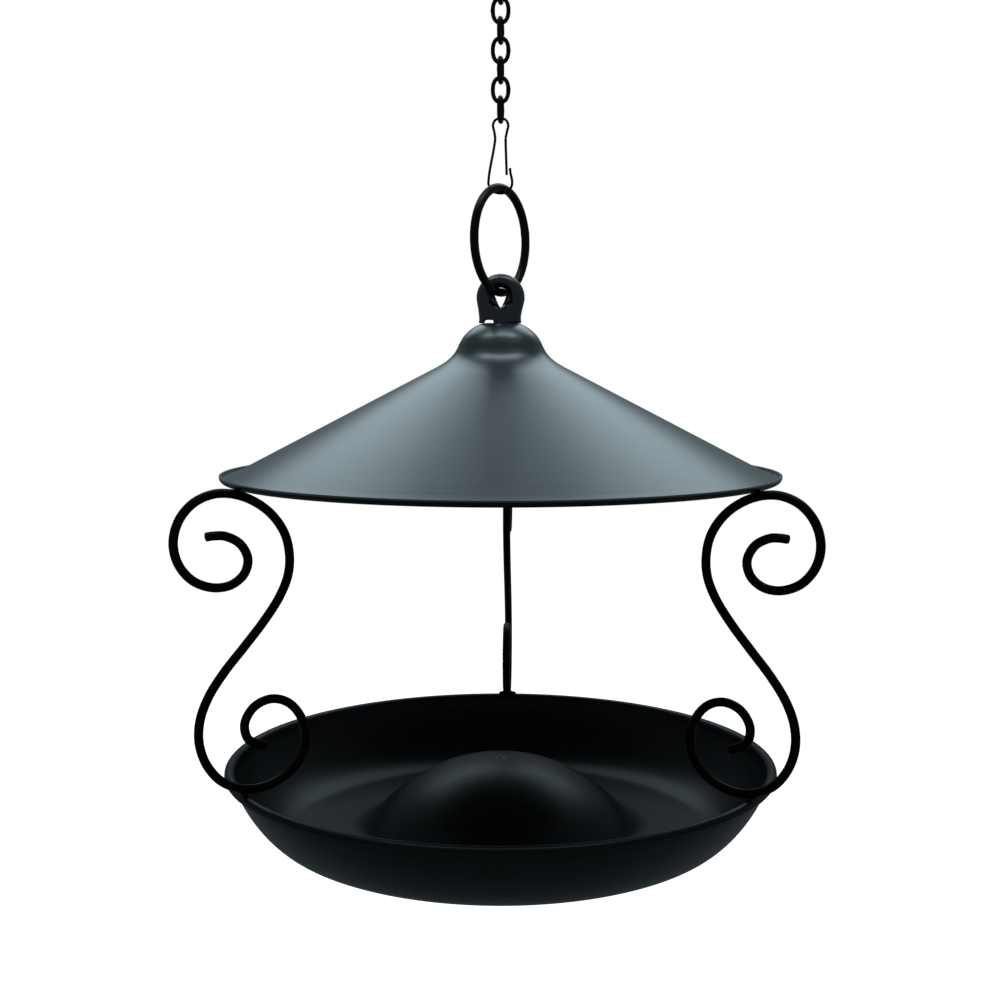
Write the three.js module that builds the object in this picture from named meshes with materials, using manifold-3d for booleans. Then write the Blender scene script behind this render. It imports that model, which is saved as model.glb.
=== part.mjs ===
// Hanging bird feeder: a conical sheet roof and a dished tray joined by three scrolled wire
// brackets, hung from an eye bolt, a ring, a wire snap clip, a short link chain and an S hook.
// Millimetres, +Z up. Heights in this file are measured from the underside of the tray, and the
// whole feeder is then lowered so that the origin is where the S hook bears on what holds it.
import * as THREE from 'three';
import { mergeVertices } from 'three/addons/utils/BufferGeometryUtils.js';
import Module from 'manifold-3d';

const wasm = await Module();
wasm.setup();

// ---------- driving dimensions ----------
const SHEET = 0.9; // thickness of the roof and tray sheet
const GAP = 0.2; // clearance left where two pieces bear on each other

const TRAY_FLOOR_RADIUS = 68.6;
const TRAY_LIP = { radius: 91.8, height: 24.0, curl: 1.35 };
const DOME = { radius: 44.6, foot: 3.85, rise: 20.85, power: 2.3, fillet: 10.4 };

const ROOF_TOP = 173.15; // middle of the sheet on the flat top of the crown
const ROOF_HOLE_RADIUS = 2.4;
const CONE_FOOT = { radius: 91.0, height: 122.7 };
const CONE_ANGLE = 27.3; // degrees below the horizontal
const ROOF_CURL = 1.2;

const BRACKET_WIRE = 3.0;
const BRACKET_AZIMUTHS = { left: 210, right: 330, back: 90 };

const EYE = { halfWidth: 8.05, height: 182.1, top: 190.0, innerTop: 185.4, depth: 5.0, round: 2.0 };
const EYE_NOTCH = { from: -5.1, to: -2.4, height: 1.1 };
const SHANK_RADIUS = 2.1;
const SHANK_END = 163.5;
const WASHER = { radius: 6.0, thickness: 1.0 };
const NUT = { acrossFlats: 7.0, height: 3.2 };

const RING = { wire: 2.8, radius: 17.15, turn: 62.1 };

const CLIP_WIRE = 0.85;
const GATE_TOP = { x: 1.65, z: 234.2 };

const LINK = { wire: 1.4, width: 6.5, pitch: 6.33, count: 9, square: 2.25 };
const LINK_TURNS = [80, 0]; // degrees about Z, by turns from the lowest link up

const HOOK = { wire: 2.2, lowerRadius: 3.4, upperRadius: 8.0, spread: 24.0 };

const SIDES = { sheet: 36, bracket: 8, thickWire: 8, link: 6, clip: 6 };

// ---------- derived heights ----------
const ringBottom = EYE.innerTop - GAP - RING.wire / 2; // middle of the ring's lowest wire
const ringCentre = ringBottom + RING.radius;
const ringInnerTop = ringCentre + RING.radius - RING.wire / 2;
const clipBottom = ringInnerTop - GAP - CLIP_WIRE / 2;
const clipTop = 240.67;
const linkLength = LINK.pitch + 2 * LINK.wire + GAP / 2;
const firstLink = clipTop - CLIP_WIRE / 2 - GAP / 2 - LINK.wire + linkLength / 2;
const lastLink = firstLink + LINK.pitch * (LINK.count - 1);
const hookLowerWire = lastLink + linkLength / 2 - LINK.wire - GAP / 2 - HOOK.wire / 2;
const hookLowerCentre = hookLowerWire + HOOK.lowerRadius;
const hookUpperCentre = hookLowerCentre + HOOK.spread;
const hangHeight = hookUpperCentre + HOOK.upperRadius - HOOK.wire / 2;

// ---------- materials ----------
const paints = {
  roof: { color: 0x2c3438, roughness: 0.42, metalness: 0.25 },
  tray: { color: 0x101315, roughness: 0.45, metalness: 0.25 },
  wire: { color: 0x0b0c0d, roughness: 0.5, metalness: 0.25 },
  fastener: { color: 0x8d9194, roughness: 0.35, metalness: 0.9 },
};

const feeder = new THREE.Group();
feeder.position.z = -hangHeight;

function piece(name, paint, geometry, turn = 0, height = 0) {
  const mesh = new THREE.Mesh(geometry, new THREE.MeshStandardMaterial(paints[paint]));
  mesh.name = name;
  mesh.rotation.z = THREE.MathUtils.degToRad(turn);
  mesh.position.z = height;
  feeder.add(mesh);
}

// ---------- shared shape helpers ----------
function toSolid(geometry) {
  const bare = geometry.clone();
  bare.deleteAttribute('normal');
  bare.deleteAttribute('uv');
  const merged = mergeVertices(bare, 1e-4);
  return new wasm.Manifold(new wasm.Mesh({
    numProp: 3,
    vertProperties: Float32Array.from(merged.attributes.position.array),
    triVerts: Uint32Array.from(merged.index.array),
  }));
}

function toGeometry(solid) {
  const mesh = solid.getMesh();
  const geometry = new THREE.BufferGeometry();
  geometry.setAttribute('position', new THREE.BufferAttribute(mesh.vertProperties, 3));
  geometry.setIndex(new THREE.BufferAttribute(mesh.triVerts, 1));
  return geometry;
}

// Points on an arc, by centre, radius and two angles in degrees.
function arc(x, y, radius, from, to, steps) {
  const points = [];
  for (let i = 0; i <= steps; i += 1) {
    const angle = THREE.MathUtils.degToRad(from + ((to - from) * i) / steps);
    points.push(new THREE.Vector2(x + radius * Math.cos(angle), y + radius * Math.sin(angle)));
  }
  return points;
}

function plane(pairs) {
  return pairs.map(([x, y]) => new THREE.Vector2(x, y));
}

function normalAt(line, i) {
  const before = line[Math.max(i - 1, 0)];
  const after = line[Math.min(i + 1, line.length - 1)];
  const along = after.clone().sub(before).normalize();
  return new THREE.Vector2(-along.y, along.x);
}

// A sheet of even thickness, turned about Z, from the middle line of its section.
function turnedSheet(line) {
  const upper = line.map((p, i) => p.clone().addScaledVector(normalAt(line, i), SHEET / 2));
  const lower = line.map((p, i) => p.clone().addScaledVector(normalAt(line, i), -SHEET / 2));
  const outline = [...lower, ...upper.reverse()];
  if (line[0].x === 0) {
    lower[0].x = 0;
    upper[upper.length - 1].x = 0;
  } else {
    outline.push(lower[0].clone());
  }
  return new THREE.LatheGeometry(outline, SIDES.sheet).rotateX(Math.PI / 2);
}

function disc(radius, sides) {
  return new THREE.Shape(arc(0, 0, radius, 0, 360 - 360 / sides, sides - 1));
}

// Round wire of open length along a curve that lies in the XZ plane.
function wire(curve, diameter, steps, sides) {
  const options = { steps, extrudePath: curve, bevelEnabled: false };
  return new THREE.ExtrudeGeometry(disc(diameter / 2, sides), options);
}

function curveThrough(points) {
  return new THREE.CatmullRomCurve3(points.map((p) => new THREE.Vector3(p.x, 0, p.y)));
}

function ringShape(outer, holeRadius) {
  const shape = outer;
  shape.holes.push(new THREE.Path(arc(0, 0, holeRadius, 0, -345, 23)));
  return shape;
}

// ---------- tray ----------
function trayLine() {
  const dimple = plane([[0, 24.15], [1.0, 24.25]]);
  const dome = [2.2, 10, 18, 26, 33, 39].map((r) => {
    const fall = (r / DOME.radius) ** DOME.power;
    return new THREE.Vector2(r, DOME.foot + DOME.rise * (1 - fall));
  });
  const slope = THREE.MathUtils.radToDeg(Math.atan((DOME.rise * DOME.power) / DOME.radius));
  const filletRadius = DOME.radius + DOME.fillet * Math.sin(THREE.MathUtils.degToRad(slope));
  const foot = arc(filletRadius, SHEET / 2 + DOME.fillet, DOME.fillet, 270 - slope, 270, 4);
  const floor = plane([[TRAY_FLOOR_RADIUS, SHEET / 2]]);
  const wall = plane([[71.4, 0.85], [76.2, 3.0], [80.7, 6.75], [84.6, 11.45], [87.7, 16.4], [89.75, 20.9]]);
  const lip = arc(TRAY_LIP.radius, TRAY_LIP.height, TRAY_LIP.curl, 180, -15, 7);
  return [...dimple, ...dome, ...foot, ...floor, ...wall, ...lip];
}

piece('tray', 'tray', turnedSheet(trayLine()));

// ---------- roof ----------
function roofLine() {
  const top = plane([[ROOF_HOLE_RADIUS, ROOF_TOP], [5.8, ROOF_TOP]]);
  const crown = plane([
    [8.4, 172.1], [10.1, 170.9], [11.9, 169.1], [13.15, 167.1], [14.15, 165.0],
    [15.5, 162.9], [17.6, 160.9], [20.4, 159.1], [24.4, 157.0],
  ]);
  const centreX = CONE_FOOT.radius + ROOF_CURL * Math.sin(THREE.MathUtils.degToRad(CONE_ANGLE));
  const centreZ = CONE_FOOT.height + ROOF_CURL * Math.cos(THREE.MathUtils.degToRad(CONE_ANGLE));
  const middle = plane([[57.7, (157.0 + CONE_FOOT.height) / 2]]);
  const lip = arc(centreX, centreZ, ROOF_CURL, 270 - CONE_ANGLE, 375, 6);
  return [...top, ...crown, ...middle, ...lip];
}

piece('roof', 'roof', turnedSheet(roofLine()));

// ---------- scrolled brackets ----------
// The wire's middle line, from the tip of the upper curl, which turns outwards under the roof's
// lip, to the tip of the lower curl, which turns inwards over the tray's lip.
const scrollLine = plane([
  [102.4, 108.0], [99.5, 108.2], [96.2, 107.9], [91.4, 105.2], [89.0, 100.3],
  [90.4, 95.6], [94.6, 92.6], [100.4, 92.2], [106.6, 94.8], [111.0, 100.2],
  [112.4, 106.8], [110.6, 113.4], [106.2, 118.4], [100.4, 120.9], [94.6, 121.0],
  [88.0, 118.9], [81.4, 114.2], [76.9, 107.6], [75.4, 100.6], [76.0, 94.3],
  [78.9, 87.7], [84.3, 80.2], [90.9, 72.6], [97.3, 65.4], [102.4, 58.2],
  [105.3, 51.0], [105.7, 43.8], [103.4, 36.6], [98.6, 30.7], [91.8, 27.5],
  [84.6, 27.4], [77.4, 30.3], [72.4, 35.6], [71.0, 42.0], [72.4, 48.4],
  [76.6, 53.5], [82.2, 55.3], [87.8, 53.4], [91.0, 48.4], [89.9, 43.2], [84.4, 40.3],
]);

for (const [side, azimuth] of Object.entries(BRACKET_AZIMUTHS)) {
  const steps = 56;
  const scroll = wire(curveThrough(scrollLine), BRACKET_WIRE, steps, SIDES.bracket);
  piece(`bracket_${side}`, 'wire', scroll, azimuth);
}

// ---------- eye bolt, washer and nut ----------
// A cast eye with rounded edges. Its foot stands on the roof's crown, with a small notch in it,
// and its shank goes through the roof. The hole narrows downwards to a point.
function eyeShape(foot) {
  const rise = EYE.top - EYE.height;
  const top = arc(0, 0, 1, -12, 192, 24).map((p) => {
    return new THREE.Vector2(p.x * EYE.halfWidth, EYE.height + p.y * rise);
  });
  const shape = new THREE.Shape([
    ...plane([[6.7, foot], [6.8, foot + 2.2], [7.3, foot + 4.6]]),
    ...top,
    ...plane([[-7.5, foot + 4.6], [-7.2, foot + 2.2], [-7.0, foot]]),
  ]);
  const hole = plane([
    [0, 178.8], [-0.55, 179.5], [-1.2, 180.9], [-1.7, 182.3], [-2.35, 183.6], [-2.1, 184.7],
    [-1.1, 185.25], [0, EYE.innerTop], [1.1, 185.25], [2.1, 184.7], [2.35, 183.6],
    [1.7, 182.3], [1.2, 180.9], [0.55, 179.5],
  ]);
  shape.holes.push(new THREE.Path(hole));
  return shape;
}

function eyeBolt() {
  const foot = ROOF_TOP + SHEET / 2 + GAP;
  const eye = new THREE.ExtrudeGeometry(eyeShape(foot), {
    depth: EYE.depth - 2 * EYE.round,
    bevelThickness: EYE.round,
    bevelSize: EYE.round,
    bevelOffset: -EYE.round,
    bevelSegments: 4,
  });
  eye.translate(0, 0, EYE.round - EYE.depth / 2).rotateX(Math.PI / 2);
  const width = EYE_NOTCH.to - EYE_NOTCH.from;
  const notch = new THREE.BoxGeometry(width, EYE.depth + 2, EYE_NOTCH.height);
  notch.translate(EYE_NOTCH.from + width / 2, 0, foot + EYE_NOTCH.height / 2 - 0.1);
  const length = foot + 3 - SHANK_END;
  const shank = new THREE.CylinderGeometry(SHANK_RADIUS, SHANK_RADIUS, length, 20);
  shank.rotateX(Math.PI / 2).translate(0, 0, SHANK_END + length / 2);
  return toGeometry(toSolid(eye).subtract(toSolid(notch)).add(toSolid(shank)));
}

piece('eye_bolt', 'wire', eyeBolt());

const washerTop = ROOF_TOP - SHEET / 2 - GAP;
const nutTop = washerTop - WASHER.thickness - GAP;
const washerShape = ringShape(disc(WASHER.radius, 24), ROOF_HOLE_RADIUS);
const washer = new THREE.ExtrudeGeometry(washerShape, { depth: WASHER.thickness, bevelEnabled: false });
piece('washer', 'fastener', washer, 0, washerTop - WASHER.thickness);

const nutShape = ringShape(disc(NUT.acrossFlats / Math.sqrt(3), 6), ROOF_HOLE_RADIUS);
const nut = new THREE.ExtrudeGeometry(nutShape, { depth: NUT.height, bevelEnabled: false });
piece('hex_nut', 'fastener', nut, 0, nutTop - NUT.height);

// ---------- hanging ring ----------
const ring = new THREE.TorusGeometry(RING.radius, RING.wire / 2, SIDES.thickWire, 36);
piece('hanging_ring', 'wire', ring.rotateX(Math.PI / 2), RING.turn, ringCentre);

// ---------- wire snap clip ----------
// The frame is the round top, the long left leg, the bight under the ring and the catch. The
// gate is the springy right leg, whose end rests against the catch.
const clipFrameLine = plane([
  [GATE_TOP.x, GATE_TOP.z + 0.1], [2.1, 236.3], [2.5, 238.4], [1.75, 240.0], [0, clipTop],
  [-1.75, 240.0], [-2.5, 238.4], [-2.1, 236.2], [-1.8, 234.1], [-2.3, 230.4],
  [-3.2, 225.8], [-3.9, 221.4], [-3.9, 218.9], [-2.4, clipBottom + 0.55], [0, clipBottom],
  [2.3, clipBottom + 0.5], [3.65, 218.6], [3.75, 220.6], [3.25, 222.9], [3.1, 224.5],
]);
const gateLine = plane([
  [GATE_TOP.x, GATE_TOP.z - 0.1], [1.7, 231.4], [1.85, 227.0], [2.0, 222.2],
]);
piece('snap_clip_frame', 'wire', wire(curveThrough(clipFrameLine), CLIP_WIRE, 46, SIDES.clip));
piece('snap_clip_gate', 'wire', wire(curveThrough(gateLine), CLIP_WIRE, 8, SIDES.clip));

// ---------- chain ----------
function squared(value) {
  return Math.sign(value) * Math.abs(value) ** (2 / LINK.square);
}

class LinkCurve extends THREE.Curve {
  // An oval, a little squarer than an ellipse.
  getPoint(t) {
    const angle = 2 * Math.PI * t;
    const across = (LINK.width - LINK.wire) / 2;
    const up = (linkLength - LINK.wire) / 2;
    return new THREE.Vector3(across * squared(Math.cos(angle)), 0, up * squared(Math.sin(angle)));
  }
}

for (let i = 0; i < LINK.count; i += 1) {
  const loop = new THREE.TubeGeometry(new LinkCurve(), 20, LINK.wire / 2, SIDES.link, true);
  const turn = LINK_TURNS[i % 2];
  piece(`chain_link_${i + 1}`, 'wire', loop, turn, firstLink + i * LINK.pitch);
}

// ---------- S hook ----------
// The lower bend holds the top link, a straight shank crosses over, and the wide upper bend goes
// over a branch, a nail or a bracket's arm.
function hookLine() {
  const spread = (HOOK.lowerRadius + HOOK.upperRadius) / HOOK.spread;
  const tangent = THREE.MathUtils.radToDeg(Math.asin(spread));
  const lower = arc(0, hookLowerCentre, HOOK.lowerRadius, 140, 360 + tangent, 9);
  const upper = arc(0, hookUpperCentre, HOOK.upperRadius, 180 + tangent, -30, 11);
  const middle = lower[lower.length - 1].clone().lerp(upper[0], 0.5);
  return [...lower, middle, ...upper];
}

piece('s_hook', 'wire', wire(curveThrough(hookLine()), HOOK.wire, 40, SIDES.thickWire));

export default feeder;
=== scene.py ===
"""Hanging tray bird feeder: fine surfaces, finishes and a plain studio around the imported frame.

Outlines are written in millimetres above the underside of the tray, as (distance from the hang
line, height), and at() turns them into metres in the row frame.
"""

import math
import random

import bmesh
import bpy
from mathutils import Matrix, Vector


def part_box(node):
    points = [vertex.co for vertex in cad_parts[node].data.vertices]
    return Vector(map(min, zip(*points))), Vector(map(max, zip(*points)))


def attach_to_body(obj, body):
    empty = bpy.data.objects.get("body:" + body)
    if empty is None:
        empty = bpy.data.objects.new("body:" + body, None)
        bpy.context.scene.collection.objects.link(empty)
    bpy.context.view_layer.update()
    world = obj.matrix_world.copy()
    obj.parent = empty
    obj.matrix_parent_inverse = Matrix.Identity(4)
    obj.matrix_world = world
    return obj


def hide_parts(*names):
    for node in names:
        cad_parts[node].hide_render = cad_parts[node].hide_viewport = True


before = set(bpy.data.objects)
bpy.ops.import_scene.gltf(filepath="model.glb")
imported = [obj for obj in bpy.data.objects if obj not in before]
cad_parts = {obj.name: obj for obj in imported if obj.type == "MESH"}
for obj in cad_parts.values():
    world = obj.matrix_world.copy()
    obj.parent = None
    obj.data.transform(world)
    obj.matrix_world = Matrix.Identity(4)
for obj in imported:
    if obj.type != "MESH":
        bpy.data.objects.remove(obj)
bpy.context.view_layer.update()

MM = 0.001
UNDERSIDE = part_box("tray")[0].z
RNG = random.Random(41)


def at(x, y, z):
    return Vector((x * MM, y * MM, z * MM + UNDERSIDE))


# ---------------------------------------------------------------- camera
CAMERA_DISTANCE = 0.4941
CAMERA_TURN = math.radians(1.8)
CAMERA_PITCH = math.radians(5.98)
CAMERA_HEIGHT = 166.1
CAMERA_ASIDE = -0.2
CAMERA_SENSOR = 36.0
CAMERA_LENS = 52.94

cam_data = bpy.data.cameras.new("camera")
cam_data.sensor_width = CAMERA_SENSOR
cam_data.lens = CAMERA_LENS
camera = bpy.data.objects.new("camera", cam_data)
camera.location = at(CAMERA_ASIDE, 0, CAMERA_HEIGHT) + CAMERA_DISTANCE * Vector(
    (math.sin(CAMERA_TURN), -math.cos(CAMERA_TURN), 0)
)
camera.rotation_euler = (math.pi / 2 - CAMERA_PITCH, 0, CAMERA_TURN)
bpy.context.scene.collection.objects.link(camera)
bpy.context.scene.camera = camera


# ---------------------------------------------------------------- outline helpers
def arc(cx, cz, radius, start, end, steps):
    """Points on an arc, with angles in degrees."""
    turn = [math.radians(start + (end - start) * i / steps) for i in range(steps + 1)]
    return [(cx + radius * math.cos(t), cz + radius * math.sin(t)) for t in turn]


def through(points, spacing):
    """A centripetal Catmull-Rom curve through the points, with a point about every spacing."""
    first = (2 * points[0][0] - points[1][0], 2 * points[0][1] - points[1][1])
    last = (2 * points[-1][0] - points[-2][0], 2 * points[-1][1] - points[-2][1])
    p = [Vector(q) for q in (first, *points, last)]
    line = []
    for i in range(1, len(p) - 2):
        a, b, c, d = p[i - 1 : i + 3]
        t1 = max((b - a).length ** 0.5, 1e-6)
        t2 = t1 + max((c - b).length ** 0.5, 1e-6)
        t3 = t2 + max((d - c).length ** 0.5, 1e-6)
        steps = max(1, round((c - b).length / spacing))
        for k in range(steps):
            t = t1 + (t2 - t1) * k / steps
            ab = a * ((t1 - t) / t1) + b * (t / t1)
            bc = b * ((t2 - t) / (t2 - t1)) + c * ((t - t1) / (t2 - t1))
            cd = c * ((t3 - t) / (t3 - t2)) + d * ((t - t2) / (t3 - t2))
            abc = ab * ((t2 - t) / t2) + bc * (t / t2)
            bcd = bc * ((t3 - t) / (t3 - t1)) + cd * ((t - t1) / (t3 - t1))
            q = abc * ((t2 - t) / (t2 - t1)) + bcd * ((t - t1) / (t2 - t1))
            line.append((q.x, q.y))
    line.append(tuple(points[-1]))
    return line


def normals(line, closed=False):
    """The unit normal, to the left of the way along, at each point of a line."""
    n = len(line)
    found = []
    for i in range(n):
        a = line[(i - 1) % n] if closed else line[max(i - 1, 0)]
        b = line[(i + 1) % n] if closed else line[min(i + 1, n - 1)]
        along = Vector((b[0] - a[0], b[1] - a[1])).normalized()
        found.append((-along.y, along.x))
    return found


# ---------------------------------------------------------------- mesh helpers
def piece(name, verts, faces, material, body, paint, *nodes):
    """A smooth mesh that rides on a body and stands for the named nodes."""
    mesh = bpy.data.meshes.new(name)
    mesh.from_pydata(verts, [], faces)
    bm = bmesh.new()
    bm.from_mesh(mesh)
    bmesh.ops.recalc_face_normals(bm, faces=bm.faces)
    bm.to_mesh(mesh)
    bm.free()
    mesh.polygons.foreach_set("use_smooth", [True] * len(mesh.polygons))
    mesh.materials.append(material)
    obj = bpy.data.objects.new(name, mesh)
    bpy.context.scene.collection.objects.link(obj)
    return attach(obj, body, paint, *nodes)


def attach(obj, body, paint, *nodes):
    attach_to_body(obj, body)
    if nodes:
        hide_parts(*nodes)
    return obj


def turned(outline, sides):
    """Vertices and faces of a closed outline turned about the hang line."""
    verts, faces, rings = [], [], []
    for r, z in outline:
        if r < 1e-6:
            rings.append([len(verts)])
            verts.append(at(0, 0, z))
            continue
        rings.append(list(range(len(verts), len(verts) + sides)))
        for k in range(sides):
            a = 2 * math.pi * k / sides
            verts.append(at(r * math.cos(a), r * math.sin(a), z))
    on_axis = len(rings[0]) == 1
    for i in range(len(rings) - (1 if on_axis else 0)):
        low, high = rings[i], rings[(i + 1) % len(rings)]
        for k in range(sides):
            n = (k + 1) % sides
            corners = [low[k % len(low)], low[n % len(low)], high[n % len(high)], high[k % len(high)]]
            face = list(dict.fromkeys(corners))
            if len(face) > 2:
                faces.append(face)
    return verts, faces


def sheet_outline(line, thickness):
    """The closed outline of a sheet of even thickness about its middle line."""
    side = normals(line)
    half = thickness / 2
    upper = [(p[0] + n[0] * half, p[1] + n[1] * half) for p, n in zip(line, side)]
    lower = [(p[0] - n[0] * half, p[1] - n[1] * half) for p, n in zip(line, side)]
    if line[0][0] == 0:
        upper[0] = (0, line[0][1] + half)
        lower[0] = (0, line[0][1] - half)
    return lower + upper[::-1]


def wire(line, radius, azimuth, sides, closed=False, height=0.0, swell=None):
    """Round wire along a line in the upright plane at an azimuth, its cut ends slightly eased.

    swell(fraction along) multiplies the radius, and gives weld bulges and pinches.
    """
    a = math.radians(azimuth)
    out, across = Vector((math.cos(a), math.sin(a), 0)), Vector((-math.sin(a), math.cos(a), 0))
    side = normals(line, closed)
    n = len(line)
    rings = []
    for i, (p, m) in enumerate(zip(line, side)):
        grow = swell(i / (n - 1 if not closed else n)) if swell else 1.0
        rings.append((p, m, radius * grow))
    if not closed:
        rings = ease(rings, radius)
        rings = ease(rings[::-1], radius)[::-1]
    verts, faces = [], []
    for p, m, r in rings:
        centre = at(0, 0, p[1] + height) + out * (p[0] * MM)
        normal = out * m[0] + Vector((0, 0, m[1]))
        for k in range(sides):
            t = 2 * math.pi * k / sides
            verts.append(centre + (normal * math.cos(t) + across * math.sin(t)) * (r * MM))
    count = len(rings)
    for i in range(count if closed else count - 1):
        j = (i + 1) % count
        for k in range(sides):
            m = (k + 1) % sides
            faces.append([i * sides + k, i * sides + m, j * sides + m, j * sides + k])
    if not closed:
        faces.append(list(range(sides))[::-1])
        faces.append(list(range((count - 1) * sides, count * sides)))
    return verts, faces


# distance from a wire's cut end and radius there, as fractions of the wire's radius
CUT_END = [(0.0, 0.74), (0.06, 0.88), (0.17, 0.97)]
CUT_END_CLEAR = 0.3


def ease(rings, radius):
    """Rounds the edge of a wire's cut end, the first of its rings."""
    (p, m, r), (q, _, _) = rings[0], rings[1]
    along = Vector((q[0] - p[0], q[1] - p[1])).normalized()
    eased = []
    for step, share in CUT_END:
        eased.append(((p[0] + along.x * radius * step, p[1] + along.y * radius * step), m, r * share))
    return eased + [x for x in rings if math.dist(x[0], p) > radius * CUT_END_CLEAR]


# ---------------------------------------------------------------- finishes
TEXTURE_SCALE = {"cloud": 38.0, "peel": 900.0, "grit": 3600.0, "spin": 420.0}
LACQUER_IOR = 1.8


def new_material(name):
    material = bpy.data.materials.new(name)
    material.use_nodes = True
    nodes, links = material.node_tree.nodes, material.node_tree.links
    nodes.clear()
    output = nodes.new("ShaderNodeOutputMaterial")
    shader = nodes.new("ShaderNodeBsdfPrincipled")
    links.new(shader.outputs["BSDF"], output.inputs["Surface"])
    return material, nodes, links, shader


def noise(nodes, links, vector, scale, detail=2.0, roughness=0.5):
    texture = nodes.new("ShaderNodeTexNoise")
    texture.inputs["Scale"].default_value = scale
    texture.inputs["Detail"].default_value = detail
    texture.inputs["Roughness"].default_value = roughness
    links.new(vector, texture.inputs["Vector"])
    return texture.outputs["Fac"]


def spread(nodes, links, value, low, high, start=0.3, end=0.7):
    """Maps a value from start..end to low..high."""
    node = nodes.new("ShaderNodeMapRange")
    node.interpolation_type = "SMOOTHSTEP"
    node.inputs["From Min"].default_value = start
    node.inputs["From Max"].default_value = end
    node.inputs["To Min"].default_value = low
    node.inputs["To Max"].default_value = high
    links.new(value, node.inputs["Value"])
    return node.outputs["Result"]


def blend_colours(nodes, links, factor, first, second):
    node = nodes.new("ShaderNodeMix")
    node.data_type = "RGBA"
    links.new(factor, node.inputs["Factor"])
    for socket, colour in ((node.inputs["A"], first), (node.inputs["B"], second)):
        if isinstance(colour, tuple):
            socket.default_value = (*colour, 1)
        else:
            links.new(colour, socket)
    return node.outputs["Result"]


def bump(nodes, links, height, distance, strength, before=None):
    node = nodes.new("ShaderNodeBump")
    node.inputs["Distance"].default_value = distance
    node.inputs["Strength"].default_value = strength
    links.new(height, node.inputs["Height"])
    if before is not None:
        links.new(before, node.inputs["Normal"])
    return node.outputs["Normal"]


def powder_coat(name, colour, light, rough, specular, tint=(1, 1, 1), spun=False, lacquer=0.0):
    """Satin powder coat: orange peel, cloudy tone, rare pale flecks and thin coat on edges."""
    material, nodes, links, shader = new_material(name)
    where = nodes.new("ShaderNodeTexCoord").outputs["Object"]
    cloud = noise(nodes, links, where, TEXTURE_SCALE["cloud"], 3.0)
    peel = noise(nodes, links, where, TEXTURE_SCALE["peel"], 2.0)
    grit = noise(nodes, links, where, TEXTURE_SCALE["grit"], 1.0)
    tone = blend_colours(nodes, links, spread(nodes, links, cloud, 0, 1), colour, light)
    edge = nodes.new("ShaderNodeNewGeometry").outputs["Pointiness"]
    thin = tuple(min(1.0, 2.2 * c + 0.006) for c in light)
    tone = blend_colours(nodes, links, spread(nodes, links, edge, 0, 0.5, 0.53, 0.62), tone, thin)
    fleck = spread(nodes, links, grit, 0, 0.35, 0.74, 0.8)
    tone = blend_colours(nodes, links, fleck, tone, tuple(min(1.0, 3 * c + 0.01) for c in light))
    links.new(tone, shader.inputs["Base Color"])
    normal = bump(nodes, links, peel, 0.00006, 0.35)
    normal = bump(nodes, links, grit, 0.00002, 0.3, normal)
    if spun:
        split = nodes.new("ShaderNodeSeparateXYZ")
        links.new(where, split.inputs["Vector"])
        flat = nodes.new("ShaderNodeCombineXYZ")
        links.new(split.outputs["X"], flat.inputs["X"])
        links.new(split.outputs["Y"], flat.inputs["Y"])
        out = nodes.new("ShaderNodeVectorMath")
        out.operation = "LENGTH"
        links.new(flat.outputs["Vector"], out.inputs[0])
        marks = nodes.new("ShaderNodeTexNoise")
        marks.noise_dimensions = "1D"
        marks.inputs["Scale"].default_value = TEXTURE_SCALE["spin"]
        marks.inputs["Detail"].default_value = 2.0
        links.new(out.outputs["Value"], marks.inputs["W"])
        normal = bump(nodes, links, marks.outputs["Fac"], 0.00008, 0.18, normal)
    links.new(normal, shader.inputs["Normal"])
    shader.inputs["Roughness"].default_value = rough
    shader.inputs["Specular IOR Level"].default_value = specular
    shader.inputs["Specular Tint"].default_value = (*tint, 1)
    if lacquer:
        shader.inputs["Coat Weight"].default_value = lacquer
        shader.inputs["Coat IOR"].default_value = LACQUER_IOR
        shader.inputs["Coat Roughness"].default_value = rough
        links.new(normal, shader.inputs["Coat Normal"])
    return material


def zinc_plate(name):
    material, nodes, links, shader = new_material(name)
    where = nodes.new("ShaderNodeTexCoord").outputs["Object"]
    cloud = noise(nodes, links, where, 260.0, 3.0)
    fine = noise(nodes, links, where, 2400.0, 2.0)
    tone = blend_colours(
        nodes, links, spread(nodes, links, cloud, 0, 1), (0.42, 0.43, 0.44), (0.62, 0.63, 0.61)
    )
    links.new(tone, shader.inputs["Base Color"])
    links.new(spread(nodes, links, cloud, 0.28, 0.46), shader.inputs["Roughness"])
    links.new(bump(nodes, links, fine, 0.00003, 0.4), shader.inputs["Normal"])
    shader.inputs["Metallic"].default_value = 1.0
    return material


WIRE_TINT = (1.0, 0.86, 0.80)
# The roof is the same black coat as the tray; its lighter, bluer base colour is painted light for the light
# that the roof catches from above.
ROOF_COAT_PAINTED_LIGHT = powder_coat(
    "roof_coat_painted_light", (0.015, 0.027, 0.035), (0.019, 0.033, 0.042), 0.32, 0.8, spun=True, lacquer=1.0
)
# The tray's own near-black coat, which also serves as painted shade on the roof's rolled lip.
TRAY_AND_RIM_SHADE_COAT = powder_coat("tray_and_rim_shade_coat", (0.003, 0.0036, 0.004), (0.004, 0.005, 0.0055), 0.36, 0.3, spun=True)
WIRE_COAT = powder_coat(
    "wire_coat", (0.0015, 0.0014, 0.0013), (0.003, 0.0028, 0.0026), 0.34, 0.12, WIRE_TINT
)
RING_COAT = powder_coat("ring_coat", (0.002, 0.002, 0.0018), (0.004, 0.0038, 0.0036), 0.30, 0.35, WIRE_TINT)
EYE_COAT = powder_coat("eye_coat", (0.002, 0.004, 0.005), (0.003, 0.006, 0.008), 0.28, 0.8, lacquer=0.8)
HARDWARE = powder_coat(
    "hardware_coat", (0.002, 0.0018, 0.0017), (0.004, 0.0036, 0.0034), 0.33, 0.3, WIRE_TINT
)
ZINC = zinc_plate("zinc_plate")


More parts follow.
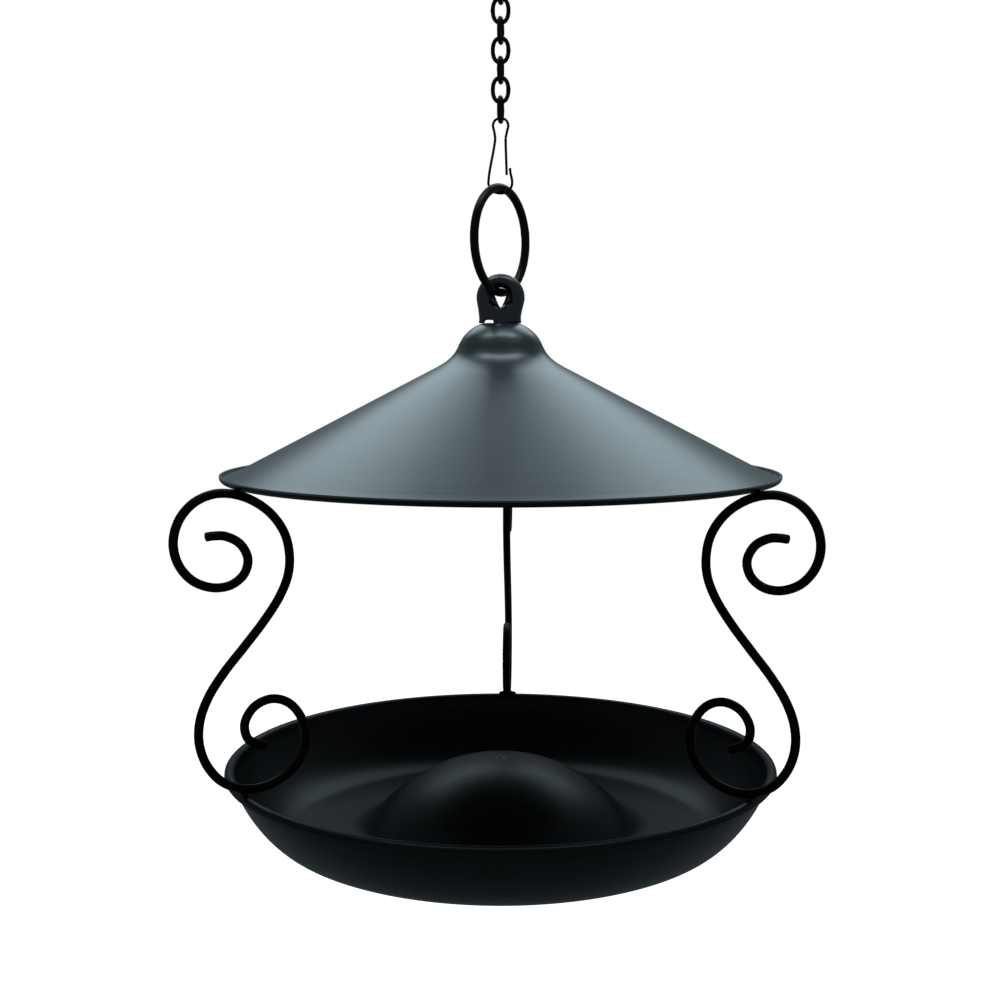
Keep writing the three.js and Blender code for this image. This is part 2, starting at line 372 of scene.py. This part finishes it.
# ---------------------------------------------------------------- roof
SHEET = 0.9
SHEET_SIDES = 180
ROOF_TOP = 173.15
ROOF_HOLE = 2.4
CONE_ANGLE = 27.3
CONE_HEAD = (24.4, 157.0)
CONE_FOOT = (91.0, 122.4)
CONE_STEPS = 16
ROOF_CURL = 1.35
# Limits of the painted shade on the roof's rolled lip: a height above the cone's foot, and a downward tilt
# of the face.
RIM_PAINTED_SHADE_RISE = 0.3
RIM_PAINTED_SHADE_TILT = -0.1

slope = math.radians(CONE_ANGLE)
crown = through(
    [(ROOF_HOLE, ROOF_TOP), (5.8, ROOF_TOP), (8.4, 172.1), (10.1, 170.9), (11.9, 169.1), (13.15, 167.1),
     (14.15, 165.0), (15.5, 162.9), (17.6, 160.9), (20.4, 159.1), CONE_HEAD],
    0.5,
)
cone = [
    (
        CONE_HEAD[0] + (CONE_FOOT[0] - CONE_HEAD[0]) * k / CONE_STEPS,
        CONE_HEAD[1] + (CONE_FOOT[1] - CONE_HEAD[1]) * k / CONE_STEPS,
    )
    for k in range(1, CONE_STEPS)
]
roof_lip = arc(
    CONE_FOOT[0] + ROOF_CURL * math.sin(slope),
    CONE_FOOT[1] + ROOF_CURL * math.cos(slope),
    ROOF_CURL, 270 - CONE_ANGLE, 375, 12,
)
roof_shape = turned(sheet_outline(crown + cone + roof_lip, SHEET), SHEET_SIDES)
roof = piece("roof_sheet", *roof_shape, ROOF_COAT_PAINTED_LIGHT, "feeder", "roof_paint", "roof")
# The rolled lip's lower and downward-facing faces take the near-black tray coat: painted shade where the
# rim turns away from the lights, on a roof that is one black coat throughout.
roof.data.materials.append(TRAY_AND_RIM_SHADE_COAT)
for face in roof.data.polygons:
    out, up = math.hypot(face.center.x, face.center.y) / MM, (face.center.z - UNDERSIDE) / MM
    if out > CONE_FOOT[0] and (up < CONE_FOOT[1] + RIM_PAINTED_SHADE_RISE or face.normal.z < RIM_PAINTED_SHADE_TILT):
        face.material_index = 1

# ---------------------------------------------------------------- tray
TRAY_FLOOR = 68.6
TRAY_LIP = (91.8, 24.0, 1.30)
DOME = {"radius": 44.6, "foot": 3.85, "rise": 20.85, "power": 2.3, "fillet": 10.4}
DIMPLE_EDGE = 3.6
DOME_STEP = 1.6
DOME_STEPS = 23


def dome_height(r):
    return DOME["foot"] + DOME["rise"] * (1 - (r / DOME["radius"]) ** DOME["power"])


dimple = [(0.0, 24.0), (0.5, 24.03), (1.0, 24.15), (1.5, 24.4), (2.1, 24.62), (2.8, 24.68)]
dome_radii = [DIMPLE_EDGE + DOME_STEP * k for k in range(DOME_STEPS)]
dome = [(r, dome_height(r)) for r in dome_radii]
fall = math.degrees(math.atan(DOME["rise"] * DOME["power"] / DOME["radius"]))
foot_radius = DOME["radius"] + DOME["fillet"] * math.sin(math.radians(fall))
foot = arc(foot_radius, SHEET / 2 + DOME["fillet"], DOME["fillet"], 270 - fall, 270, 10)
floor_ring = [(foot_radius + (TRAY_FLOOR - foot_radius) * k / 6, SHEET / 2) for k in range(1, 6)]
wall = through(
    [(TRAY_FLOOR, SHEET / 2), (71.4, 0.85), (76.2, 3.0), (80.7, 6.75), (84.6, 11.45), (87.7, 16.4),
     (89.75, 20.9)],
    0.9,
)
tray_lip = arc(*TRAY_LIP, 180, -15, 14)
tray_line = dimple + dome + foot + floor_ring + wall + tray_lip
tray_shape = turned(sheet_outline(tray_line, SHEET), SHEET_SIDES)
piece("tray_dish", *tray_shape, TRAY_AND_RIM_SHADE_COAT, "feeder", "tray_paint", "tray")

# ---------------------------------------------------------------- scrolled brackets
BRACKET_RADIUS = 1.455
AZIMUTHS = {"left": 210, "right": 330, "back": 90}
SCROLL = through(
    [(102.4, 108.0), (99.5, 108.2), (96.2, 107.9), (91.4, 105.2), (89.0, 100.3),
     (90.4, 95.6), (94.6, 92.6), (100.4, 92.2), (106.6, 94.8), (111.0, 100.2),
     (112.4, 106.8), (110.6, 113.4), (106.2, 118.4), (100.4, 120.9), (94.6, 121.0),
     (88.0, 118.9), (81.4, 114.2), (76.9, 107.6), (75.4, 100.6), (76.0, 94.3),
     (78.9, 87.7), (84.3, 80.2), (90.9, 72.6), (97.3, 65.4), (102.4, 58.2),
     (105.3, 51.0), (105.7, 43.8), (103.4, 36.6), (98.6, 30.7), (91.8, 27.5),
     (84.6, 27.4), (77.4, 30.3), (72.4, 35.6), (71.0, 42.0), (72.4, 48.4),
     (76.6, 53.5), (82.2, 55.3), (87.8, 53.4), (91.0, 48.4), (89.9, 43.2), (84.4, 40.3)],
    0.8,
)
for side, azimuth in AZIMUTHS.items():
    shape = wire(SCROLL, BRACKET_RADIUS, azimuth, 20)
    piece(f"scroll_{side}", *shape, WIRE_COAT, "feeder", "wire_paint", f"bracket_{side}")


def weld_bead(name, r, z, azimuth, radius, length):
    """A short rippled bead laid along a lip, under or over the wire that it joins."""
    a = math.radians(azimuth)
    out, across = Vector((math.cos(a), math.sin(a), 0)), Vector((-math.sin(a), math.cos(a), 0))
    steps, sides = 22, 12
    verts, faces = [], []
    for i in range(steps + 1):
        t = -1 + 2 * i / steps
        size = radius * (1 - abs(t) ** 2.6) ** 0.5 * (1 + 0.07 * math.sin(15 * t + azimuth))
        size = max(size, 0.05)
        aside = t * length / 2
        centre = at(0, 0, z) + out * ((r - 0.5 * aside**2 / r) * MM) + across * (aside * MM)
        for k in range(sides):
            b = 2 * math.pi * k / sides
            lump = 1 + RNG.uniform(-0.05, 0.05)
            verts.append(centre + (out * math.cos(b) + Vector((0, 0, math.sin(b)))) * (size * lump * MM))
    for i in range(steps):
        for k in range(sides):
            m = (k + 1) % sides
            faces.append([i * sides + k, i * sides + m, (i + 1) * sides + m, (i + 1) * sides + k])
    faces.append(list(range(sides))[::-1])
    faces.append(list(range(steps * sides, (steps + 1) * sides)))
    piece(name, verts, faces, WIRE_COAT, "feeder", "wire_paint")


WELD_RADIUS = 0.95
WELD_LENGTH = 7.0
WELD_ROOF = (91.5, 121.95)
WELD_TRAY = (91.9, 25.95)
for side, azimuth in AZIMUTHS.items():
    weld_bead(f"weld_roof_{side}", *WELD_ROOF, azimuth, WELD_RADIUS, WELD_LENGTH)
    weld_bead(f"weld_tray_{side}", *WELD_TRAY, azimuth, WELD_RADIUS, WELD_LENGTH)

# ---------------------------------------------------------------- eye bolt, washer and nut
SHANK_RADIUS = 2.1
SHANK_END = 163.5
SHANK_CUT = 172.0
EYE_FOOT = 173.8
EYE_ROUND = 2.0
EYE_FLAT = 0.5
EYE_DROP = 0.17
EYE_FLARE = 0.05
EYE_MIDDLE = 182.1
EYE_GRID = 0.00022
EYE_SOFTENING = 7
EYE_BAND = (5.7, 2.4)
EYE_THIN = 0.86
THREAD = {"pitch": 0.8, "depth": 0.38}


def seat(vertex):
    """Squares the rounded underside of the eye's foot and sets it down on the crown."""
    low = EYE_FOOT * MM + UNDERSIDE
    above = (vertex.co.z - low) / MM
    if -0.1 < above < EYE_ROUND:
        depth = EYE_FLAT + math.sqrt(EYE_ROUND**2 - (EYE_ROUND - max(above, 0.02)) ** 2)
        full = (EYE_FLAT + EYE_ROUND - 0.03) * MM
        y = abs(vertex.co.y) * full / (depth * MM)
        vertex.co.y = math.copysign(min(y, full), vertex.co.y)
    low_down = min(max(1 - above / EYE_ROUND, 0), 1)
    if abs(vertex.co.x) > SHANK_RADIUS * MM * 2:
        vertex.co.x *= 1 + EYE_FLARE * low_down**2
    vertex.co.z -= EYE_DROP * MM * low_down


def pillow(vertex):
    """Rounds the eye's section, so that its sides and top look like a bent bar."""
    up = (vertex.co.z - UNDERSIDE) / MM - EYE_MIDDLE
    far = (math.hypot(vertex.co.x / MM, max(up, 0)) - EYE_BAND[0]) / EYE_BAND[1]
    if far < 0:
        far *= min(max((up + 4) / 3, 0), 1)
    vertex.co.y *= math.sqrt(1 - EYE_THIN * min(abs(far), 1) ** 2)


def cast_eye():
    """The eye's head: the frame's solid, remeshed and eased like a coated casting."""
    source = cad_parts["eye_bolt"]
    mesh = source.data.copy()
    bm = bmesh.new()
    bm.from_mesh(mesh)
    bmesh.ops.remove_doubles(bm, verts=bm.verts, dist=1e-6)
    cut = bmesh.ops.bisect_plane(
        bm, geom=[*bm.verts, *bm.edges, *bm.faces], plane_co=at(0, 0, SHANK_CUT), plane_no=(0, 0, 1),
        clear_inner=True,
    )
    rim = [e for e in cut["geom_cut"] if isinstance(e, bmesh.types.BMEdge)]
    bmesh.ops.holes_fill(bm, edges=rim, sides=0)
    bmesh.ops.triangulate(bm, faces=bm.faces)
    bmesh.ops.recalc_face_normals(bm, faces=bm.faces)
    bm.to_mesh(mesh)
    bm.free()
    mesh.materials.clear()
    mesh.materials.append(EYE_COAT)
    obj = bpy.data.objects.new("eye_casting", mesh)
    bpy.context.scene.collection.objects.link(obj)
    grid = obj.modifiers.new("grid", "REMESH")
    grid.mode = "VOXEL"
    grid.voxel_size = EYE_GRID
    grid.use_smooth_shade = True
    soften = obj.modifiers.new("soften", "SMOOTH")
    soften.factor = 0.5
    soften.iterations = EYE_SOFTENING
    dg = bpy.context.evaluated_depsgraph_get()
    final = bpy.data.meshes.new_from_object(obj.evaluated_get(dg))
    obj.modifiers.clear()
    obj.data = final
    for vertex in final.vertices:
        seat(vertex)
        pillow(vertex)
    return attach(obj, "feeder", "wire_paint", "eye_bolt")


def thread(low, high, radius):
    """The threaded end of the shank: a round bar whose radius follows a helix."""
    sides, per_turn = 32, 12
    rows = math.ceil((high - low) / THREAD["pitch"] * per_turn)
    verts, faces = [], []
    for i in range(rows + 1):
        z = low + (high - low) * i / rows
        end = min(1.0, (z - low) / 0.7)
        for k in range(sides):
            phase = (z / THREAD["pitch"] - k / sides) % 1
            groove = THREAD["depth"] * abs(2 * phase - 1)
            r = min(radius - groove, radius - 0.5 * (1 - end))
            a = 2 * math.pi * k / sides
            verts.append(at(r * math.cos(a), r * math.sin(a), z))
    for i in range(rows):
        for k in range(sides):
            m = (k + 1) % sides
            faces.append([i * sides + k, i * sides + m, (i + 1) * sides + m, (i + 1) * sides + k])
    faces.append(list(range(sides))[::-1])
    faces.append(list(range(rows * sides, (rows + 1) * sides)))
    return verts, faces


cast_eye()
piece(
    "eye_shank_thread", *thread(SHANK_END, SHANK_CUT, SHANK_RADIUS), WIRE_COAT, "feeder", "wire_paint"
)

GAP = 0.2
NUT = {"height": 3.2, "flats": 7.0}
WASHER_THICKNESS = 1.0
WASHER_TOP = ROOF_TOP - SHEET / 2 - GAP
washer_outline = [
    (ROOF_HOLE, WASHER_TOP - 0.85), (ROOF_HOLE + 0.15, WASHER_TOP - WASHER_THICKNESS),
    (5.8, WASHER_TOP - WASHER_THICKNESS),
    (5.96, WASHER_TOP - 0.9), (6.0, WASHER_TOP - 0.75), (6.0, WASHER_TOP - 0.2), (5.85, WASHER_TOP - 0.03),
    (5.6, WASHER_TOP), (ROOF_HOLE + 0.15, WASHER_TOP), (ROOF_HOLE, WASHER_TOP - 0.15),
]
piece("washer_plate", *turned(washer_outline, 64), ZINC, "feeder", "zinc", "washer")


def hex_nut(top, height, flats, bore):
    """A hexagon nut with its corners chamfered to a circle on both faces."""
    sides = 72
    levels = [(0.0, 0.93), (0.12, 1.0), (0.88, 1.0), (1.0, 0.93)]
    verts, faces = [], []
    corner = flats / math.sqrt(3)
    for up, limit in levels:
        for k in range(sides):
            a = 2 * math.pi * k / sides
            to_flat = (a + math.pi / 6) % (math.pi / 3) - math.pi / 6
            r = min(flats / 2 / math.cos(to_flat), corner * limit)
            verts.append(at(r * math.cos(a), r * math.sin(a), top - height + height * up))
    for up, wide in ((1.0, 0.3), (0.9, 0.0), (0.1, 0.0), (0.0, 0.3)):
        for k in range(sides):
            a = 2 * math.pi * k / sides
            r = bore + wide
            verts.append(at(r * math.cos(a), r * math.sin(a), top - height + height * up))
    rows = 8
    for i in range(rows):
        for k in range(sides):
            m, j = (k + 1) % sides, (i + 1) % rows
            faces.append([i * sides + k, i * sides + m, j * sides + m, j * sides + k])
    return verts, faces


NUT_TOP = WASHER_TOP - WASHER_THICKNESS - GAP
nut_shape = hex_nut(NUT_TOP, NUT["height"], NUT["flats"], ROOF_HOLE)
nut = piece("nut_body", *nut_shape, ZINC, "feeder", "zinc", "hex_nut")
nut.data.set_sharp_from_angle(angle=math.radians(24))

# ---------------------------------------------------------------- hanging ring
RING_RADIUS = 17.15
RING_WIRE = 1.43
RING_TURN = 62.1
RING_STEPS = 144
RING_WELD = {"place": 0.03, "width": 0.008, "rise": 0.05}
ring_low, ring_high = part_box("hanging_ring")
RING_CENTRE = ((ring_low.z + ring_high.z) / 2 - UNDERSIDE) / MM


def butt_weld(place, width, rise):
    """A swell of the wire where its two ends were welded together."""
    return lambda t: 1 + rise * math.exp(-(((t - place + 0.5) % 1 - 0.5) / width) ** 2)


ring_line = arc(0, RING_CENTRE, RING_RADIUS, 0, 360 - 360 / RING_STEPS, RING_STEPS - 1)
ring_shape = wire(ring_line, RING_WIRE, RING_TURN, 24, closed=True, swell=butt_weld(**RING_WELD))
piece("ring_wire", *ring_shape, RING_COAT, "ring", "wire_paint", "hanging_ring")

# ---------------------------------------------------------------- snap clip
CLIP_WIRE = 0.425
clip_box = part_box("snap_clip_frame")
CLIP_BOTTOM = (clip_box[0].z - UNDERSIDE) / MM + CLIP_WIRE + 0.15
CLIP_TOP = (clip_box[1].z - UNDERSIDE) / MM - CLIP_WIRE
clip_line = through(
    [(1.65, 234.22), (2.1, 236.3), (2.5, 238.4), (1.75, 240.0), (0, CLIP_TOP),
     (-1.75, 240.0), (-2.5, 238.4), (-2.1, 236.2), (-1.8, 234.1), (-2.3, 230.4),
     (-3.2, 225.8), (-3.9, 221.4), (-3.9, 218.9), (-2.4, CLIP_BOTTOM + 0.55), (0, CLIP_BOTTOM),
     (2.3, CLIP_BOTTOM + 0.5), (3.65, 218.6), (3.75, 220.6), (3.25, 222.9), (3.1, 224.5)],
    0.25,
)
gate_line = through([(1.65, 234.18), (1.7, 231.4), (1.85, 227.0), (2.0, 222.2)], 0.3)
clip_shape = wire(clip_line, CLIP_WIRE, 0, 14)
gate_shape = wire(gate_line, CLIP_WIRE, 0, 14)
piece("clip_wire", *clip_shape, HARDWARE, "clip", "hardware_black", "snap_clip_frame")
piece("clip_gate_wire", *gate_shape, HARDWARE, "clip_gate", "hardware_black", "snap_clip_gate")

# ---------------------------------------------------------------- chain
LINK_WIRE = 0.7
LINK_WIDTH = 6.5
LINK_SQUARE = 2.25
LINK_LENGTH = 9.23
LINK_TURNS = (80, 0)
LINK_COUNT = 9
LINK_STEPS = 56
LINK_WELD = {"width": 0.018, "rise": 0.1}


def link_line():
    """The middle line of a link: an oval, a little squarer than an ellipse."""
    across, up = LINK_WIDTH / 2 - LINK_WIRE, LINK_LENGTH / 2 - LINK_WIRE
    line = []
    for k in range(LINK_STEPS):
        turn = 2 * math.pi * k / LINK_STEPS
        x, z = math.cos(turn), math.sin(turn)
        grow = (abs(x) ** LINK_SQUARE + abs(z) ** LINK_SQUARE) ** (-1 / LINK_SQUARE)
        line.append((across * x * grow, up * z * grow))
    return line


for number in range(1, LINK_COUNT + 1):
    low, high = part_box(f"chain_link_{number}")
    middle = ((low.z + high.z) / 2 - UNDERSIDE) / MM
    shape = wire(
        link_line(), LINK_WIRE, LINK_TURNS[(number + 1) % 2], 14, closed=True, height=middle,
        swell=butt_weld(0.0 if number % 3 else 0.5, **LINK_WELD),
    )
    node = f"chain_link_{number}"
    piece(f"link_wire_{number}", *shape, HARDWARE, f"link_{number}", "hardware_black", node)

# ---------------------------------------------------------------- S hook
HOOK_WIRE = 1.1
HOOK_SLIM = 0.03
HOOK = {"lower": 3.4, "upper": 8.0, "spread": 24.0}
hook_upper = -UNDERSIDE / MM - HOOK["upper"] + HOOK_WIRE
hook_lower = hook_upper - HOOK["spread"]
lean = math.degrees(math.asin((HOOK["lower"] + HOOK["upper"]) / HOOK["spread"]))
lower_bend = arc(0, hook_lower, HOOK["lower"], 140, 360 + lean, 26)
upper_bend = arc(0, hook_upper, HOOK["upper"], 180 + lean, -30, 44)
hook_line = through(lower_bend + upper_bend, 0.6)
hook_shape = wire(hook_line, HOOK_WIRE - HOOK_SLIM, 0, 20)
piece("hook_wire", *hook_shape, HARDWARE, "top_hook", "hardware_black", "s_hook")

# ---------------------------------------------------------------- studio
FLOOR_DROP = 0.30
MIDDLE = at(0, 0, 100)
LIGHT_DISTANCE = 1.4
LIGHT_COLOUR = (0.74, 0.93, 1.0)
FILL_COLOUR = (0.70, 0.88, 1, 1)
FILL_STRENGTH = 0.11
STRIP_ABOVE = {"azimuth": 180, "elevation": 86, "width": 1.3, "height": 0.38, "power": 3.3}
BESIDE_TURN = 90
BOX_BESIDE = {"elevation": 65, "width": 0.5, "height": 0.5, "power": 0.4}
BEHIND_TURN = 21
BOX_BEHIND = {"elevation": 41, "width": 0.75, "height": 0.75, "power": 2.1}


def stage_plane(name, height, glow):
    """A level sheet of faintly mottled pale card, self-lit by glow so that it reads as white."""
    size, cells = 3.2, 16
    row = cells + 1
    verts = [
        (-size + 2 * size * i / cells, -size + 2 * size * j / cells, height)
        for i in range(row) for j in range(row)
    ]
    faces = [
        (i * row + j, (i + 1) * row + j, (i + 1) * row + j + 1, i * row + j + 1)
        for i in range(cells) for j in range(cells)
    ]
    mesh = bpy.data.meshes.new(name)
    mesh.from_pydata(verts, [], faces)
    material, nodes, links, shader = new_material(name)
    where = nodes.new("ShaderNodeTexCoord").outputs["Object"]
    cloud = noise(nodes, links, where, 3.0, 2.0)
    tone = blend_colours(
        nodes, links, spread(nodes, links, cloud, 0, 1), (0.86, 0.86, 0.855), (0.89, 0.89, 0.885)
    )
    links.new(tone, shader.inputs["Base Color"])
    shader.inputs["Roughness"].default_value = 0.9
    shader.inputs["Specular IOR Level"].default_value = 0.1
    shader.inputs["Emission Color"].default_value = (1, 1, 1, 1)
    shader.inputs["Emission Strength"].default_value = glow
    mesh.materials.append(material)
    obj = bpy.data.objects.new(name, mesh)
    bpy.context.scene.collection.objects.link(obj)
    return obj


def studio_floor():
    """The pale floor that the camera sees, and a dimmer one that lights and mirrors in the feeder."""
    height = UNDERSIDE - FLOOR_DROP
    floor = stage_plane("floor", height, 1.0)
    floor.visible_diffuse = False
    floor.visible_glossy = False
    bounce = stage_plane("floor_bounce", height - 0.001, 0.0)
    bounce.visible_camera = False


def soft_light(name, azimuth, elevation, width, height, power):
    """A softbox aimed at the feeder. Azimuth 0 is behind it and 90 is to its right."""
    a, e = math.radians(azimuth), math.radians(elevation)
    way = Vector((math.sin(a) * math.cos(e), math.cos(a) * math.cos(e), math.sin(e)))
    data = bpy.data.lights.new(name, "AREA")
    data.shape = "RECTANGLE"
    data.size = width
    data.size_y = height
    data.energy = power
    data.color = LIGHT_COLOUR
    light = bpy.data.objects.new(name, data)
    light.location = MIDDLE + way * LIGHT_DISTANCE
    light.rotation_euler = (-way).to_track_quat("-Z", "Y").to_euler()
    light.visible_camera = False
    bpy.context.scene.collection.objects.link(light)


def studio_world():
    """White where the camera sees it, and a dim even fill for everything else."""
    world = bpy.data.worlds.new("studio")
    world.use_nodes = True
    nodes, links = world.node_tree.nodes, world.node_tree.links
    nodes.clear()
    output = nodes.new("ShaderNodeOutputWorld")
    mix = nodes.new("ShaderNodeMixShader")
    seen, fill = nodes.new("ShaderNodeBackground"), nodes.new("ShaderNodeBackground")
    seen.inputs["Color"].default_value = (1, 1, 1, 1)
    fill.inputs["Color"].default_value = FILL_COLOUR
    fill.inputs["Strength"].default_value = FILL_STRENGTH
    links.new(nodes.new("ShaderNodeLightPath").outputs["Is Camera Ray"], mix.inputs["Fac"])
    links.new(fill.outputs["Background"], mix.inputs[1])
    links.new(seen.outputs["Background"], mix.inputs[2])
    links.new(mix.outputs["Shader"], output.inputs["Surface"])
    bpy.context.scene.world = world


def studio_lights():
    """A strip above, and a pair of softboxes at the sides and another pair behind."""
    soft_light("strip_above", **STRIP_ABOVE)
    for side, sign in (("left", -1), ("right", 1)):
        soft_light(f"box_{side}", BESIDE_TURN * sign, **BOX_BESIDE)
        soft_light(f"box_behind_{side}", BEHIND_TURN * sign, **BOX_BEHIND)


studio_floor()
studio_world()
studio_lights()
bpy.context.scene.view_settings.view_transform = "Standard"
